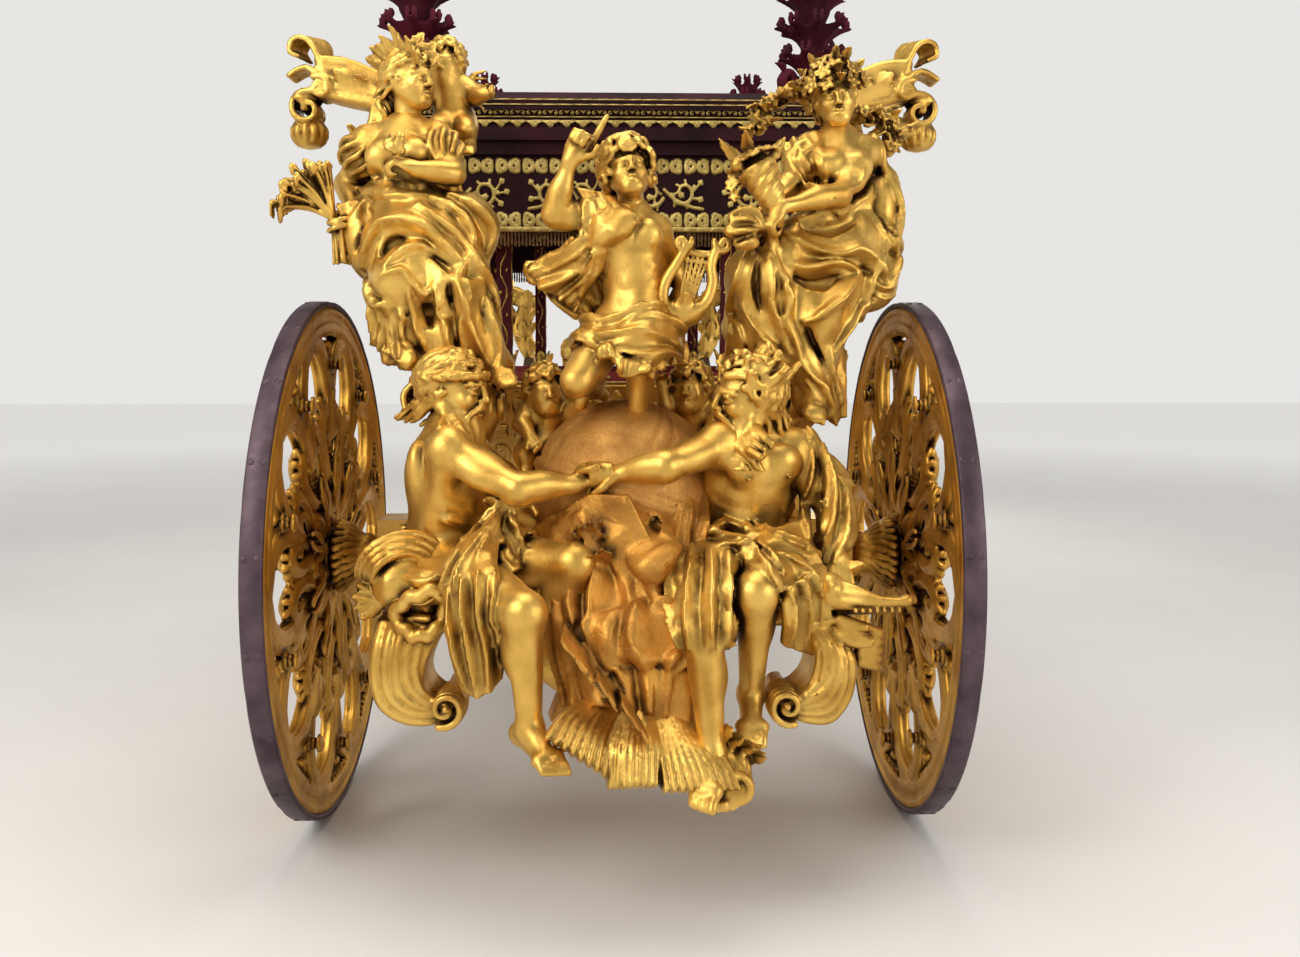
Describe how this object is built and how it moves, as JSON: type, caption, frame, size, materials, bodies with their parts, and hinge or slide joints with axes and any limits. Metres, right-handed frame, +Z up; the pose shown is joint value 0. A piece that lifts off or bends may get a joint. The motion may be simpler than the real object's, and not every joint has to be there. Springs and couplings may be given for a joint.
{
  "type": "stagecoach",
  "caption": "Ornate horse-drawn coach with a carved gilt figure group behind, openwork wheels, a strap-hung body, a velvet roof and a steering fore-carriage.",
  "frame": {"origin": "centre of the box around the coach, on the floor", "axes": "+Y towards the front (the pole), +X to the right as seen from behind, +Z up"},
  "size_m": [2.3732, 5.9464, 3.11],
  "materials": {
    "gold": "carved wood, water gilt, satin",
    "tyre": "forged iron, worn",
    "iron": "blacked iron",
    "velvet": "dark crimson velvet",
    "red": "red velvet",
    "leather": "harness leather",
    "fringe": "silk fringe",
    "rock": "carved wood, darker gilt, matt",
    "painted": "painted wood"
  },
  "bodies": {
    "coach": {"perch": "gold", "rear_axle_bed": "gold", "rear_axle": "iron", "front_transom": "gold", "front_board": "gold", "rear_standards": "gold", "front_standards": "gold", "body_floor": "painted", "body_rear_panel": "velvet", "body_front_panel": "velvet", "side_panels": "velvet", "waist_rails": "red", "roof_posts": "red", "roof": "velvet", "valance": "velvet", "fringe": "fringe", "finials": "velvet", "benches": "painted", "cushions": "red", "door_hinges": "iron", "straps": "leather", "group_board": "gold", "globe": "rock", "rockwork": "rock", "scallop_shell": "gold", "sea_creatures": "gold", "seated_figure_left": "gold", "seated_figure_right": "gold", "consoles": "gold", "youth": "gold", "lyre": "gold", "standing_figure_left": "gold", "standing_figure_right": "gold", "wheat_sheaf": "gold", "cornucopia": "gold", "garland": "gold", "putti": "gold", "front_figures": "gold"},
    "fore_carriage": {"front_axle_bed": "gold", "front_axle": "iron", "turning_plate": "iron", "pole_socket": "iron", "splinter_bar": "gold"},
    "door_left_leaf": {"door_left": "velvet"},
    "door_right_leaf": {"door_right": "velvet"},
    "rear_left_wheel": {"wheel_rear_left": "gold", "tyre_rear_left": "tyre"},
    "rear_right_wheel": {"wheel_rear_right": "gold", "tyre_rear_right": "tyre"},
    "front_left_wheel": {"wheel_front_left": "gold", "tyre_front_left": "tyre"},
    "front_right_wheel": {"wheel_front_right": "gold", "tyre_front_right": "tyre"}
  },
  "joints": [
    {"name": "steering", "type": "hinge", "parent": "coach", "child": "fore_carriage", "pos_m": [0, 1.9, 0.7], "axis": [0, 0, 1], "range_deg": [-30, 30]},
    {"name": "door_left_hinge", "type": "hinge", "parent": "coach", "child": "door_left_leaf", "pos_m": [-0.7255, 0.18, 1.3], "axis": [0, 0, -1], "range_deg": [0, 80]},
    {"name": "door_right_hinge", "type": "hinge", "parent": "coach", "child": "door_right_leaf", "pos_m": [0.7255, 0.18, 1.3], "axis": [0, 0, 1], "range_deg": [0, 80]},
    {"name": "rear_left_wheel_spin", "type": "hinge", "parent": "coach", "child": "rear_left_wheel", "pos_m": [-0.97, -1.9, 0.85], "axis": [1, 0, 0], "continuous": true},
    {"name": "rear_right_wheel_spin", "type": "hinge", "parent": "coach", "child": "rear_right_wheel", "pos_m": [0.97, -1.9, 0.85], "axis": [1, 0, 0], "continuous": true},
    {"name": "front_left_wheel_spin", "type": "hinge", "parent": "fore_carriage", "child": "front_left_wheel", "pos_m": [-0.97, 1.9, 0.56], "axis": [1, 0, 0], "continuous": true},
    {"name": "front_right_wheel_spin", "type": "hinge", "parent": "fore_carriage", "child": "front_right_wheel", "pos_m": [0.97, 1.9, 0.56], "axis": [1, 0, 0], "continuous": true}
  ]
}
